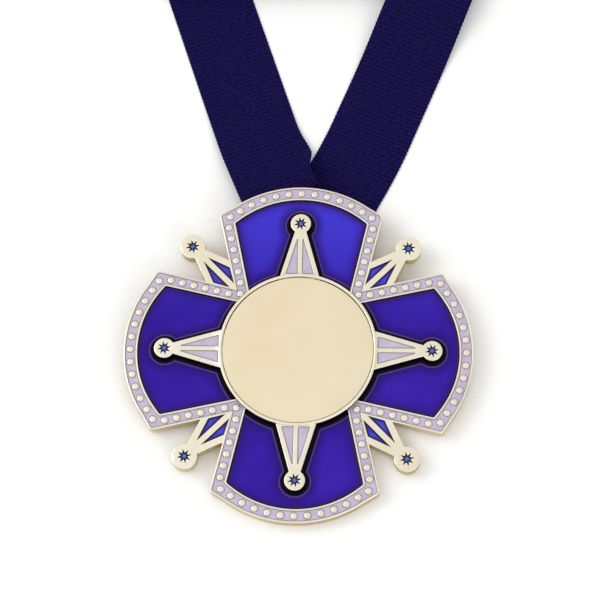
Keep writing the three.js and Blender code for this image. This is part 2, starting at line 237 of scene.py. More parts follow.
def ray_outline(ray, foot):
    """A tapered ray with a round tip, from its right foot round the tip to its left foot."""
    neck, _ = line_meets_circle(ray["root"], ray["end"], (0, ray["tip"]), ray["tip_r"])
    start = math.atan2(neck[1] - ray["tip"], neck[0])
    tip = arc((0, ray["tip"]), ray["tip_r"], start, math.pi - start, 36)
    return np.vstack([[foot], tip, [np.array(foot) * (-1, 1)]])


def cross_outline():
    """Outer edge of the whole cross: four arms, with a diagonal ray growing from each corner."""
    arm = fan(ARM)[1:-1]
    side = turned(np.vstack([[ARM["root"]], arm[:1]]), math.pi / 4)
    root, end = np.array(DIAGONAL["root"]) * (-1, 1), np.array(DIAGONAL["end"]) * (-1, 1)
    meets = crossing(root, end - root, side[0], side[1] - side[0])
    ray = turned(ray_outline(DIAGONAL, meets * (-1, 1)), -math.pi / 4)
    return four(np.vstack([ray, arm]))


def star(part, centre, turn, shrink=0.0):
    """An eight-pointed star."""
    i = np.arange(16)
    radius = np.where(i % 2, part["inner"], part["outer"]) - shrink
    angle = turn + QUARTER + i * math.pi / 8
    return np.stack([centre[0] + radius * np.cos(angle), centre[1] + radius * np.sin(angle)], 1)


def ray_window(corners, side, grow=0.0):
    """A ray's small window on its right side, or mirrored onto its left."""
    loop = resampled(offset(np.array(corners, float), grow), 1.2)
    return loop if side > 0 else mirrored(loop)


def stud_places():
    """Centres of the studs of one quarter: a junction, a side, a crown with its corners, a side."""
    heights = np.linspace(JUNCTION_STUD[1], CORNER_STUD[1], SIDE_STUDS + 2)[1:-1]
    side = [
        (on_line(ARM["root"], ARM["ear"], y) + on_line(WINDOW["root"], WINDOW["ear"], y)) / 2 for y in heights
    ]
    kink = (np.array(ARM["kink"]) + np.array(WINDOW["kink"])) / 2
    apex = (ARM["apex"] + WINDOW["apex"]) / 2
    radius = crown_radius(kink, apex)
    spread = (CROWN_STUDS - 1) / 2 * STUD["gap"] / radius
    top = arc((0, apex - radius), radius, QUARTER - spread, QUARTER + spread, CROWN_STUDS - 1)
    right = np.vstack([side, [CORNER_STUD]])
    return np.vstack([[JUNCTION_STUD], right, top, mirrored(right)])


# ---- distances ----


def distance(points, loops):
    """How far each point is from the nearest edge of the loops."""
    a = np.vstack(loops)
    b = np.vstack([np.roll(loop, -1, 0) for loop in loops])
    d = b - a
    best = np.empty(len(points))
    for k in range(0, len(points), 2000):
        p = points[k : k + 2000, None]
        t = np.clip(((p - a) * d).sum(2) / np.maximum((d * d).sum(1), 1e-12), 0, 1)
        best[k : k + 2000] = np.linalg.norm(p - a - t[..., None] * d, axis=2).min(1)
    return best


def inside(points, loops):
    """Whether each point is inside an odd number of the loops."""
    odd = np.zeros(len(points), bool)
    for loop in loops:
        a, b = loop, np.roll(loop, -1, 0)
        for k in range(0, len(points), 2000):
            x, y = points[k : k + 2000, :1], points[k : k + 2000, 1:]
            spans = (a[:, 1] > y) != (b[:, 1] > y)
            slope = (b[:, 0] - a[:, 0]) / np.where(b[:, 1] == a[:, 1], 1, b[:, 1] - a[:, 1])
            odd[k : k + 2000] ^= (spans & (x < a[:, 0] + (y - a[:, 1]) * slope)).sum(1) % 2 == 1
    return odd


def regions(triangles, fences):
    """A label for each triangle, the same for all that can be reached without crossing a fence."""
    beside = {}
    for k, (a, b, c) in enumerate(triangles.tolist()):
        for edge in ((a, b), (b, c), (c, a)):
            beside.setdefault(tuple(sorted(edge)), []).append(k)
    parent = list(range(len(triangles)))

    def root(k):
        while parent[k] != k:
            parent[k] = parent[parent[k]]
            k = parent[k]
        return k

    for edge, pair in beside.items():
        if len(pair) == 2 and edge not in fences:
            parent[root(pair[0])] = root(pair[1])
    return np.array([root(k) for k in range(len(triangles))])


# ---- meshes ----


class Body:
    """A closed mesh in the making, in millimetres."""

    def __init__(self):
        self.points = np.zeros((0, 3))
        self.faces = []
        self.looks = []

    def add(self, points):
        first = len(self.points)
        self.points = np.vstack([self.points, points])
        return np.arange(first, len(self.points))

    def ring(self, loop, z):
        return self.add(np.column_stack([loop, np.full(len(loop), float(z))]))

    def face(self, corners, look=0):
        self.faces.append([int(i) for i in corners])
        self.looks.append(look)

    def strip(self, lower, upper, look=0, flip=False):
        """Quads between two rings; they face outwards, or inwards when flipped."""
        for quad in zip(lower, np.roll(lower, -1), np.roll(upper, -1), upper):
            self.face(quad[::-1] if flip else quad, look)

    def wall(self, loop, levels, recess=False, looks=None):
        """Rings at the (offset, height) levels, from the top down. Returns the first and the last."""
        rings = [self.ring(offset(loop, d), z) for d, z in levels]
        for k, (upper, lower) in enumerate(zip(rings, rings[1:])):
            self.strip(lower, upper, looks[k] if looks else 0, recess)
        return rings[0], rings[-1]

    def recess(self, loop, levels, looks=None):
        """A recess with a flat floor. Returns its top ring."""
        top, floor = self.wall(loop, levels, True, looks)
        self.cap([floor])
        return top

    def cap(self, rings, up=True, look=0, extra=()):
        """Fills the flat region inside an odd number of the rings, through the extra points."""
        index = np.concatenate([*rings, *extra]).astype(int)
        flat = self.points[index, :2]
        edges = []
        for ring in rings:
            own = np.arange(len(edges), len(edges) + len(ring))
            edges += zip(own.tolist(), np.roll(own, -1).tolist())
        made = delaunay_2d_cdt([Vector(p) for p in flat], edges, [], 0, 1e-7, True)
        triangles = np.array([ids[0] for ids in made[3]])[np.array(made[2])]
        corners = flat[triangles]
        a, b = corners[:, 1] - corners[:, 0], corners[:, 2] - corners[:, 0]
        size = np.abs(a[:, 0] * b[:, 1] - a[:, 1] * b[:, 0])
        region = regions(triangles, {tuple(sorted(edge)) for edge in edges})
        order = np.argsort(size)
        largest = dict(zip(region[order], order))
        kept = (size > 1e-4) & inside(corners.mean(1), [self.points[ring, :2] for ring in rings])
        for triangle, home in zip(index[triangles], region):
            if kept[largest[home]]:
                self.face(triangle if up else triangle[::-1], look)

    def fan(self, ring, centre):
        middle = self.add([centre])[0]
        for a, b in zip(ring, np.roll(ring, -1)):
            self.face((a, b, middle))


def outer_levels(top, bottom, top_round, bottom_round):
    """A wall with solid inside it, rounded over at both ends."""
    t = np.linspace(0, QUARTER, 4)
    over = [(-top_round * (1 - math.sin(a)), top - top_round * (1 - math.cos(a))) for a in t]
    under = [(-bottom_round * (1 - math.cos(a)), bottom + bottom_round * (1 - math.sin(a))) for a in t]
    return over + under


def recess_levels(top, floor, top_round, floor_round):
    """A wall with solid outside it, rounded over at the top and filleted at the floor."""
    t = np.linspace(0, QUARTER, 4)
    over = [(top_round * (1 - math.sin(a)), top - top_round * (1 - math.cos(a))) for a in t]
    return over + [(0, floor + floor_round), (-floor_round, floor)]


def rounded_edge(radius, top, curve, out=1):
    """(radius, height) points up over a wall's rounded edge, on its outer side or, at -1, its inner one."""
    t = np.linspace(0, QUARTER, 5)
    return [(radius - out * curve * (1 - math.cos(a)), top - curve * (1 - math.sin(a))) for a in t]


def lathe(profile, steps, centre=(0, 0)):
    """A closed body turned about an upright axis, by (radius, height) points that start and end on it."""
    body = Body()
    rings = [body.ring(circle(r, steps, centre), z) for r, z in profile[1:-1]]
    for lower, upper in zip(rings, rings[1:]):
        body.strip(lower, upper)
    for ring, (_, z), flip in ((rings[0], profile[0], True), (rings[-1], profile[-1], False)):
        body.fan(ring[::-1] if flip else ring, (centre[0], centre[1], z))
    return body


def linked(name, data):
    made = bpy.data.objects.new(name, data)
    bpy.context.scene.collection.objects.link(made)
    return made


SHARP = 35  # degrees; a wider angle between two faces is an edge


def mesh_object(name, body, place, materials, attributes=None, sharp=SHARP):
    """The body as an object with smooth shading, sharp edges kept, and flat faces that stay flat."""
    mesh = bpy.data.meshes.new(name)
    mesh.from_pydata(body.points.tolist(), [], body.faces)
    for material in materials:
        mesh.materials.append(material)
    mesh.polygons.foreach_set("material_index", np.array(body.looks, np.int32))
    for key, values in (attributes or {}).items():
        kind = "FLOAT" if np.ndim(values) == 1 else "FLOAT_VECTOR"
        layer = mesh.attributes.new(key, kind, "POINT")
        layer.data.foreach_set("value" if kind == "FLOAT" else "vector", np.ravel(values).astype(np.float32))
    mesh.transform(place)
    mesh.shade_smooth()
    mesh.set_sharp_from_angle(angle=math.radians(sharp))
    mesh.update()
    piece = linked(name, mesh)
    piece.modifiers.new("flat_faces", "WEIGHTED_NORMAL").keep_sharp = True
    return piece


def finished(piece, nodes, body="medal"):
    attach(piece, body)
    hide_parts(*nodes)


def joined(piece, others, operation):
    """Joins the other objects to the piece, or cuts them from it."""
    weighted = piece.modifiers[-1]
    weighted.show_viewport = False
    for other in others:
        change = piece.modifiers.new(operation, "BOOLEAN")
        change.object, change.operation, change.solver = other, operation, "MANIFOLD"
    shaped = piece.evaluated_get(bpy.context.evaluated_depsgraph_get())
    piece.data = bpy.data.meshes.new_from_object(shaped)
    for change in piece.modifiers[1:]:
        piece.modifiers.remove(change)
    weighted.show_viewport = True
    for other in others:
        bpy.data.objects.remove(other)
    piece.data.shade_smooth()
    piece.data.set_sharp_from_angle(angle=math.radians(SHARP))


def shade_walls(piece):
    """Gives the second material, near-black painted shade, to the overlay's side walls, its underside, its
    star recesses and the inner wall of the cup's rim in the groove round the disc.
    """
    back = MEDAL.inverted()
    tips = [Matrix.Rotation(turn, 4, "Z") @ Vector((0, RAISED["tip"], 0)) for _, turn in STRAIGHT]
    for polygon in piece.data.polygons:
        place = back @ polygon.center
        by_star = min((place - tip).xy.length for tip in tips) < STAR["outer"] + 0.1
        # In the groove round the disc the rim's inner wall is darkened higher up: painted shade in the narrow
        # gap.
        in_groove = DISC_R < place.xy.length < DISC_R + 0.3
        below = OVERLAY_TOP - (0.03 if by_star else -0.4 if in_groove else 0.3)
        polygon.material_index = int(place.z < below and polygon.normal.dot(face_axis) < 0.4)


# ---- materials ----


class Look:
    """A material in the making: its Principled shader and short ways to add nodes to it."""

    def __init__(self, name, **values):
        self.material = bpy.data.materials.new(name)
        self.material.use_nodes = True
        self.tree = self.material.node_tree
        self.shader = next(n for n in self.tree.nodes if n.type == "BSDF_PRINCIPLED")
        self.place, self.per_mm = self.node("ShaderNodeTexCoord").outputs["Object"], 1 / MM
        self.finish(**values)

    def node(self, kind, links=None, **settings):
        made = self.tree.nodes.new(kind)
        for key, value in settings.items():
            setattr(made, key, value)
        for socket, value in (links or {}).items():
            self.link(value, made.inputs[socket])
        return made

    def link(self, value, socket):
        if isinstance(value, bpy.types.NodeSocket):
            self.tree.links.new(value, socket)
        else:
            socket.default_value = value

    def math(self, operation, a, b=0.0):
        return self.node("ShaderNodeMath", {0: a, 1: b}, operation=operation).outputs[0]

    def attribute(self, name, output="Fac"):
        return self.node("ShaderNodeAttribute", attribute_name=name).outputs[output]

    def noise(self, waves, detail=3.0, roughness=0.55, stretch=(1, 1, 1)):
        """Noise with so many waves in a millimetre."""
        scale = tuple(s * self.per_mm for s in stretch)
        mapped = self.node("ShaderNodeMapping", {"Vector": self.place, "Scale": scale}).outputs[0]
        links = {"Vector": mapped, "Scale": waves, "Detail": detail, "Roughness": roughness}
        return self.node("ShaderNodeTexNoise", links).outputs["Fac"]

    def spread(self, value, low=0.0, high=1.0, from_low=0.3, from_high=0.7):
        links = {0: value, 1: from_low, 2: from_high, 3: low, 4: high}
        return self.node("ShaderNodeMapRange", links).outputs[0]

    def mix(self, factor, a, b):
        made = self.node("ShaderNodeMix", data_type="RGBA")
        self.link(factor, made.inputs[0])
        for value, socket in ((a, made.inputs[6]), (b, made.inputs[7])):
            self.link((*value, 1.0) if isinstance(value, tuple) else value, socket)
        return made.outputs[2]

    def shades(self, value, dark, light):
        """From the dark to the light sRGB colour as the noise value rises."""
        return self.mix(self.spread(value), rgb(*dark), rgb(*light))

    def by_distance(self, base, name, reach, stops):
        """The base under colours laid along a distance attribute, by (share of reach, colour, cover). It
        paints shade and highlight lines beside walls, and the spot in a star recess.
        """
        made = self.node("ShaderNodeValToRGB", {"Fac": self.math("DIVIDE", self.attribute(name), reach)})
        elements = made.color_ramp.elements
        for k, (place, colour, cover) in enumerate(stops):
            element = elements[k] if k < 2 else elements.new(place)
            element.position = place
            element.color = (*colour, cover)
        return self.mix(made.outputs["Alpha"], base, made.outputs["Color"])

    def bump(self, height, depth_mm):
        return self.node("ShaderNodeBump", {"Height": height, "Distance": depth_mm * MM}).outputs[0]

    def coated(self, colour, rough, height=None, depth_mm=0.0):
        """The finished material, from its colour, its roughness and its relief."""
        if height:
            self.finish(Normal=self.bump(height, depth_mm))
        return self.finish(Base_Color=colour, Roughness=rough)

    def finish(self, **sockets):
        for key, value in sockets.items():
            self.link(value, self.shader.inputs[key.replace("_", " ")])
        return self.material


def rgb(r, g, b):
    """An sRGB colour, given from 0 to 255, as the linear values that shaders use."""
    return tuple((c / 255 / 12.92) if c <= 10 else ((c / 255 + 0.055) / 1.055) ** 2.4 for c in (r, g, b))


def gold(name, light, dark, roughness, grain_depth=0.002):
    """Gold plate with faint cloudy tone, polishing marks and a fine cast grain."""
    look = Look(name, Metallic=1.0)
    tone = look.noise(0.09, 2.0)
    marks = look.noise(1.6, 4.0, 0.6, (1, 0.12, 1))
    grain = look.noise(9.0, 2.0)
    rough = look.math("ADD", look.spread(marks, -0.05, 0.06), look.spread(tone, roughness + 0.03, roughness))
    height = look.math("ADD", look.math("MULTIPLY", marks, 0.5), grain)
    return look.coated(look.shades(tone, dark, light), rough, height, grain_depth)


def disc_finish():
    """Fine matt gold: a dense blasted grain, a soft tone change, and a few faint handling marks."""
    look = Look("disc_satin", Metallic=1.0)
    tone = look.noise(0.05, 2.0)
    grain = look.noise(14.0, 3.0, 0.7)
    rubs = look.noise(0.5, 5.0, 0.6, (0.2, 1, 1))
    rough = look.math("ADD", look.spread(rubs, -0.03, 0.03), look.spread(grain, 0.4, 0.5))
    return look.coated(look.shades(tone, (235, 220, 189), (239, 226, 197)), rough, grain, 0.0035)


# Near-black painted shade in the enamel beside the metal walls and round the raised star.
PAINTED_SHADE_BLACK = (0.0022, 0.0012, 0.006)


def arm_enamel_look():
    """Royal blue glass over metal, with painted light and shade: black painted shade by the rails and round
    the raised star, thin violet painted highlight lines beside the black, and a lighter painted blue towards
    the medal's top.
    """
    look = Look("royal_blue_enamel", Specular_IOR_Level=0.07)
    swirl = look.noise(0.35)
    base = look.shades(look.noise(0.045, 2.0), (42, 20, 138), (53, 29, 160))
    base = look.mix(look.spread(swirl, 0.0, 0.2), base, rgb(60, 34, 176))
    # Painted light: the blue grows lighter towards the top of the medal.
    up = look.node("ShaderNodeSeparateXYZ", {0: look.place}).outputs[1]
    base = look.mix(look.spread(up, 0.0, 0.75, -0.035, 0.0), base, rgb(68, 62, 218))
    # Painted shade and reflection by the rails: black next to the metal, a thin greyish-violet painted
    # highlight line of the meniscus, then darker blue fading out.
    colour = look.by_distance(base, "wall", 4.0, [
        (0.07, PAINTED_SHADE_BLACK, 1.0),
        (0.115, rgb(54, 34, 98), 1.0),
        (0.2, rgb(44, 20, 104), 0.8),
        (0.4, rgb(44, 16, 110), 0.35),
        (0.9, rgb(46, 20, 120), 0.0),
    ])
    # Painted shadow round the raised star: black, then a thin violet painted highlight line of the meniscus,
    # then darker blue fading out.
    colour = look.by_distance(colour, "star_shadow_reach", 6.0, [
        (0.19, PAINTED_SHADE_BLACK, 1.0),
        (0.225, rgb(84, 62, 132), 1.0),
        (0.255, rgb(84, 62, 132), 1.0),
        (0.3, rgb(42, 16, 104), 0.8),
        (0.75, rgb(42, 14, 118), 0.0),
    ])
    return look.coated(colour, look.spread(swirl, 0.08, 0.16), look.noise(0.22, 2.0), 0.02)


def ray_enamel_look():
    """Thin bright blue glass in the diagonal rays, with painted shade: violet and then black towards the
    metal.
    """
    look = Look("bright_blue_enamel", Specular_IOR_Level=0.25)
    swirl = look.noise(0.5)
    # Painted shade: the blue turns violet and then black towards the metal walls.
    colour = look.by_distance(look.shades(swirl, (44, 40, 176), (62, 84, 214)), "wall", 2.0, [
        (0.12, PAINTED_SHADE_BLACK, 1.0),
        (0.24, rgb(52, 22, 130), 0.95),
        (0.5, rgb(66, 60, 200), 0.0),
    ])
    return look.coated(colour, look.spread(swirl, 0.08, 0.16), look.noise(0.5, 2.0), 0.012)


def tip_enamel_look():
    """Blue-black glass in a star recess, brighter where it is deepest in the middle."""
    look = Look("star_enamel", Specular_IOR_Level=0.25)
    speck = look.noise(1.4)
    colour = look.by_distance(look.shades(speck, (56, 84, 178), (88, 118, 204)), "middle", 2.0, [
        (STAR_DOT / 2 - 0.09, rgb(20, 14, 70), 0.0),
        (STAR_DOT / 2 + 0.02, rgb(10, 6, 44), 1.0),
        (1.0, rgb(9, 5, 36), 1.0),
    ])
    return look.coated(colour, look.spread(speck, 0.1, 0.18))


def lilac_enamel_look():
    """Opaque pale lilac, a little greyer where it meets the metal, which is painted shade by the rims and
    round the studs.
    """
    look = Look("lilac_enamel", Specular_IOR_Level=0.3)
    cloud = look.noise(0.3)
    speck = look.noise(5.0, 2.0)
    base = look.shades(cloud, (180, 170, 194), (196, 188, 206))
    base = look.mix(look.spread(speck, 0.0, 0.2), base, rgb(170, 160, 188))
    # Painted shade: greyer lilac beside the rims and round every stud.
    colour = look.by_distance(base, "wall", 1.0, [
        (0.0, rgb(118, 108, 122), 1.0),
        (0.14, rgb(140, 130, 150), 0.9),
        (0.4, rgb(168, 158, 184), 0.0),
    ])
    return look.coated(colour, look.spread(cloud, 0.2, 0.32), speck, 0.004)


def dark_wall_look():
    """Near-black painted shade on the raised star's side walls and underside, the star recesses and the
    groove round the disc, with faint streaks.
    """
    look = Look("painted_shade_wall", Specular_IOR_Level=0.08)
    streak = look.noise(0.8)
    colour = look.mix(look.spread(streak), (0.003, 0.0016, 0.008), (0.012, 0.007, 0.03))
    return look.coated(colour, look.spread(streak, 0.22, 0.36))


def grosgrain_look():
    """Navy grosgrain: fine lengthwise yarns bound over thick ribs, with painted shade darkening the valleys
    between them.
    """
    look = Look("navy_grosgrain", Sheen_Weight=0.05, Sheen_Roughness=0.5, Specular_IOR_Level=0.06)
    look.finish(Sheen_Tint=(*rgb(120, 110, 220), 1.0))
    look.place, look.per_mm = look.attribute("cloth", "Vector"), 1
    across = look.node("ShaderNodeSeparateXYZ", {0: look.place}).outputs[1]
    yarn = look.math("SINE", look.math("MULTIPLY", across, 2 * math.pi / YARN_PITCH))
    fuzz = look.noise(2.2, 4.0, 0.5, (0.6, 3.0, 1.0))
    fleck = look.noise(1.6, 2.0, 0.5, (0.9, 0.55, 1.0))
    base = look.shades(look.noise(0.06, 2.0, 0.5), (9, 5, 43), (14, 8, 55))
    base = look.mix(look.spread(fuzz, 0.0, 0.8), base, rgb(27, 19, 86))
    base = look.mix(look.spread(fleck, 0.0, 0.35, 0.45, 0.75), base, rgb(39, 31, 106))
    # Painted shade: the valleys between the ribs are darkened, broken up by the flecks.
    rib_shade = look.math("ADD", look.attribute("rib"), look.spread(fleck, -0.3, 0.45))
    base = look.mix(look.spread(rib_shade, 0.95, 0.0, 0.0, 0.85), base, rgb(3, 1, 18))
    height = look.math("ADD", look.math("MULTIPLY", yarn, 0.5), look.math("MULTIPLY", fuzz, 0.8))
    return look.coated(base, look.spread(fuzz, 0.75, 0.95), height, 0.035)


# ---- the cross ----

GOLD_TOP, GOLD_SHADED_WALL, GOLD_BACK, WALL_SHADE = 0, 1, 2, 3
# The walls of the star recesses, below their rounded edge, take the near-black painted shade.
STAR_WALLS = [GOLD_TOP, WALL_SHADE, WALL_SHADE, WALL_SHADE, WALL_SHADE]


def base_cross():
    body = Body()
    # The outer walls between the rounded edges take the darker gold, which is painted shade.
    wall_looks = [GOLD_TOP] * 2 + [GOLD_SHADED_WALL] * 4 + [GOLD_BACK]
    top, bottom = body.wall(cross_outline(), outer_levels(BASE_TOP, 0, 0.22, 0.3), looks=wall_looks)
    outside = recess_levels(BASE_TOP, CHANNEL_FLOOR, 0.1, 0.08)
    outer_top, channel_out = body.wall(arms_outline(-RIM), outside, recess=True)
    island = outer_levels(BASE_TOP, CHANNEL_FLOOR, 0.1, 0.0)[:5]
    band_top, channel_in = body.wall(band_inside(), island)
    window_levels = recess_levels(BASE_TOP, WINDOW_FLOOR, 0.1, 0.1)
    windows = [body.recess(turned(window_outline(), i * QUARTER), window_levels) for i in range(4)]
    body.cap([channel_out, channel_in, *stud_rings(body)])
    recesses = []
    for i in range(4):
        turn = (i + 0.5) * QUARTER
        for side in SIDES:
            loop = turned(ray_window(DIAGONAL_WINDOW, side), turn)
            recesses.append(body.recess(loop, recess_levels(BASE_TOP, RAY_FLOOR, 0.08, 0.05)))
        recesses.append(star_recess(body, DIAGONAL, turn, BASE_TOP, STAR_WALLS))
    bores = [
        body.wall(circle(RIVET["bore"], 24, place), [(0, BASE_TOP), (0, 0)], recess=True)
        for place in rivet_places()
    ]
    body.cap([top, outer_top, *recesses])
    body.cap([band_top, *windows, *(upper for upper, _ in bores)])
    body.cap([bottom, *(lower for _, lower in bores)], up=False, look=GOLD_BACK)
    piece = mesh_object("cast_cross", body, MEDAL, [GOLD, GOLD_SHADED_SIDE, GOLD_REVERSE, DARK_WALL])
    finished(piece, ["base_cross"])


def star_recess(body, ray, turn, top, looks=None):
    """The star-shaped recess in a ray's tip; returns its top ring."""
    centre = turned([(0, ray["tip"])], turn)[0]
    levels = recess_levels(top, top - STAR["deep"], 0.04, 0.03)
    return body.recess(star(STAR, centre, STAR["turn"]), levels, looks)


def stud_rings(body):
    """The many-pointed studs that stand up from the channel's floor; returns their feet."""
    feet = []
    high = STUD["top"]
    levels = [(-0.3, high), (-0.1, high - 0.02), (-0.03, high - 0.06), (0, high - 0.14), (0, CHANNEL_FLOOR)]
    for x, y in four(stud_places()):
        top, foot = body.wall(star(STUD, (x, y), math.atan2(y, x)), levels)
        body.fan(top, (x, y, high + 0.02))
        feet.append(foot)
    return feet


def rivet_places():
    return [(sx * RIVET["square"], sy * RIVET["square"]) for sx in SIDES for sy in SIDES]


# ---- the raised star ----


def raised_outline():
    """One raised ray, with its foot hidden in the cup."""
    return ray_outline(RAISED, on_line(RAISED["root"], RAISED["end"], 20))


def raised_ray(index):
    body = Body()
    turn = index * QUARTER
    levels = outer_levels(OVERLAY_TOP, OVERLAY_SKIRT, 0.2, 0.1)
    # Below its rounded top edge the ray's side wall takes material 1, the near-black painted shade.
    top, bottom = body.wall(turned(raised_outline(), turn), levels, looks=[0, 0, 1, 1, 1, 1, 1])
    levels = recess_levels(OVERLAY_TOP, OVERLAY_TOP - RAISED["deep"], 0.12, 0.05)
    windows = [body.recess(turned(ray_window(RAISED_WINDOW, side), turn), levels) for side in SIDES]
    tip = star_recess(body, RAISED, turn, OVERLAY_TOP)
    body.cap([top, tip, *windows])
    body.cap([bottom], up=False, look=1)
    return mesh_object(f"raised_ray_{index}", body, MEDAL, [GOLD, DARK_WALL])


def star_overlay():
    """The overlay casting: a shallow cup with a rounded rim, joined to its four rays."""
    inner, rim, low = DISC_R + 0.1, 0.2, 0.1
    wall = [(CUP_R - low, OVERLAY_SEAT), (CUP_R, OVERLAY_SEAT + low), (CUP_R, OVERLAY_TOP - 0.25)]
    over = rounded_edge(CUP_R, CUP_TOP, rim) + rounded_edge(inner, CUP_TOP, rim, -1)[::-1]
    profile = [(0, OVERLAY_SEAT), *wall, *over, (inner, CUP_FLOOR), (0, CUP_FLOOR)]
    body = lathe(profile, ROUND)
    # The cup's outer wall takes material 1, the near-black painted shade.
    body.looks = [int(k < 2 * ROUND) for k in range(len(body.looks))]
    cup = mesh_object("raised_star", body, MEDAL, [GOLD, DARK_WALL])
    joined(cup, [raised_ray(i) for i in range(4)], "UNION")
    wide, high = RIVET["bore"], RIVET["top"] + CLEAR
    bore = [(0, 3), (wide, 3), (wide, high), (0, high)]
    bores = [mesh_object("bore", lathe(bore, 24, place), MEDAL, [GOLD]) for place in rivet_places()]
    joined(cup, bores, "DIFFERENCE")
    shade_walls(cup)
    finished(cup, ["star_overlay"])


def star_distance(points):
    """How far each point is outside the raised star's outline."""
    nearest = np.linalg.norm(points, axis=1) - CUP_R
    for i in range(4):
        local = turned(points, -i * QUARTER)
        ray = distance(local, [raised_outline()])
        ray[inside(local, [raised_outline()])] *= -1
        nearest = np.minimum(nearest, ray)
    return np.maximum(nearest, 0)


# ---- enamel ----

MENISCUS = 0.3
GAP = 0.02
BESIDE_WALL = (0.12, 0.26, 0.45, 0.75)
BESIDE_STAR = (0.05, 0.9, 1.15, 1.35, 1.6, 2.0)
ROUND_STUD = (0.84, 1.04, 1.2, 1.45)
ROUND_DOT = (0.3, 0.55, 0.68, 0.8)


def near_rings(loops, reaches, step, outside=False):
    """Points beside the loops, at each of the reaches: inside the first loop, outside the others."""
    found = []
    for k, loop in enumerate(loops):
        for reach in reaches:
            ring = resampled(offset(loop, reach if outside or k else -reach), step)
            found.append(ring[distance(ring, loops) > 0.93 * reach])
    return np.vstack(found)


def enamel_body(loops, floor, level, climb, spacing, step, walls=None, extra=()):
    """A poured fill: loops[0] is its edge and the rest are islands. It creeps up the walls by climb."""
    loops = [resampled(loop, step) for loop in loops]
    walls = walls or loops
    low, high = loops[0].min(0), loops[0].max(0)
    grid = [
        (x, y)
        for k, y in enumerate(np.arange(low[1], high[1], spacing * 0.87))
        for x in np.arange(low[0] + (k % 2) * spacing / 2, high[0], spacing)
    ]
    points = np.vstack([grid, near_rings(loops, BESIDE_WALL, step), *extra])
    points = points[inside(points, loops)]
    points = points[distance(points, loops) > 0.08]
    _, first = np.unique(np.round(points / 0.09).astype(int), axis=0, return_index=True)
    body = Body()
    tops = [body.ring(loop, level) for loop in loops]
    body.cap(tops, extra=[body.ring(points[np.sort(first)], level)])
    body.points[:, 2] += climb * np.exp(-distance(body.points[:, :2], walls) / MENISCUS)
    feet = [body.ring(loop, floor) for loop in loops]
    for k, (foot, top) in enumerate(zip(feet, tops)):
        body.strip(foot, top, flip=k > 0)
    body.cap(feet, up=False)
    return body, distance(body.points[:, :2], walls)


def arm_enamels():
    look = arm_enamel_look()
    star_edge = near_rings([raised_outline()], BESIDE_STAR, 0.6, outside=True)
    extra = [star_edge, *(circle(CUP_R + reach, 300) for reach in BESIDE_STAR)]
    body, wall = enamel_body(
        [window_outline(-GAP)], WINDOW_FLOOR + CLEAR, ARM_ENAMEL, 0.4, 1.1, 0.6, [fan(WINDOW)], extra
    )
    attributes = {"wall": wall, "star_shadow_reach": star_distance(body.points[:, :2])}
    for name, turn in STRAIGHT:
        place = MEDAL @ Matrix.Rotation(turn, 4, "Z")
        piece = mesh_object(f"blue_enamel_{name}", body, place, [look], attributes)
        finished(piece, [f"arm_enamel_{name}"])


def border_enamel():
    """The endless lilac band, which creeps up both rims and every stud."""
    centres = four(stud_places())
    studs = [star(STUD, (x, y), math.atan2(y, x)) for x, y in centres]
    extra = [circle(r, 14, c) for c in centres for r in ROUND_STUD]
    edges = [arms_outline(-RIM - GAP), band_inside(GAP)]
    body, _ = enamel_body(edges, CHANNEL_FLOOR + 0.03, CHANNEL_ENAMEL, 0.0, 1.3, 0.8, extra=extra)
    reach = distance(body.points[:, :2], [arms_outline(-RIM), band_inside(), *studs])
    top = body.points[:, 2] > CHANNEL_FLOOR + 0.2
    body.points[top, 2] += 0.1 * np.exp(-reach[top] / 0.2)
    piece = mesh_object("lilac_border", body, MEDAL, [LILAC], {"wall": reach})
    finished(piece, ["border_enamel"])


def window_enamels(kind, nodes, rays, corners, levels, look):
    """Two fills in each ray; levels are the fill's underside, its top and its climb."""
    for name, turn in rays:
        for side, letter in zip(SIDES, "ab"):
            loop = turned(ray_window(corners, side, -GAP), turn)
            body, wall = enamel_body([loop], *levels, 0.6, 0.3)
            piece = mesh_object(f"{kind}_{name}_{letter}", body, MEDAL, [look], {"wall": wall})
            finished(piece, [f"{nodes}_{name}_{letter}"])


def tip_enamels(rays, at, top, look):
    for name, turn in rays:
        centre = turned([(0, at)], turn)[0]
        loop = star(STAR, centre, STAR["turn"], GAP)
        dots = [circle(r, 16, centre) for r in ROUND_DOT]
        body, _ = enamel_body([loop], top - STAR["deep"] + 0.02, top - 0.1, 0.04, 0.5, 0.3, extra=dots)
        middle = np.linalg.norm(body.points[:, :2] - centre, axis=1)
        piece = mesh_object(f"tip_star_{name}", body, MEDAL, [look], {"middle": middle})
        finished(piece, [f"tip_enamel_{name}"])


# ---- disc and hardware ----


def centre_disc():
    low = CUP_FLOOR + CLEAR
    rings = [(r, DISC_TOP) for r in (21.0, 18.0, 14.0, 10.0, 6.0, 2.0)]
    over = rounded_edge(DISC_R, DISC_TOP, 0.22)
    body = lathe([(0, low), (DISC_R, low), *over, *rings, (0, DISC_TOP)], ROUND)
    piece = mesh_object("matt_disc", body, MEDAL, [disc_finish()])
    finished(piece, ["centre_disc"])


def rivets():
    """Rivets with a slightly flattened dome behind the cross, and a shank up into the cup."""
    shank, head, thick, top = (RIVET[key] for key in ("shank", "head", "head_thick", "top"))
    t = np.linspace(0, QUARTER, 6)[:-1]
    dome = [(head * math.sin(a), -CLEAR - thick * math.cos(a) ** 0.8) for a in t]
    profile = [*dome, (head, -0.12), (head, -CLEAR), (shank, -CLEAR), (shank, top), (0, top)]
    for k, place in enumerate(rivet_places()):
        piece = mesh_object(f"peened_rivet_{k + 1}", lathe(profile, 40, place), MEDAL, [GOLD_REVERSE])
        finished(piece, [f"overlay_rivet_{k + 1}"])


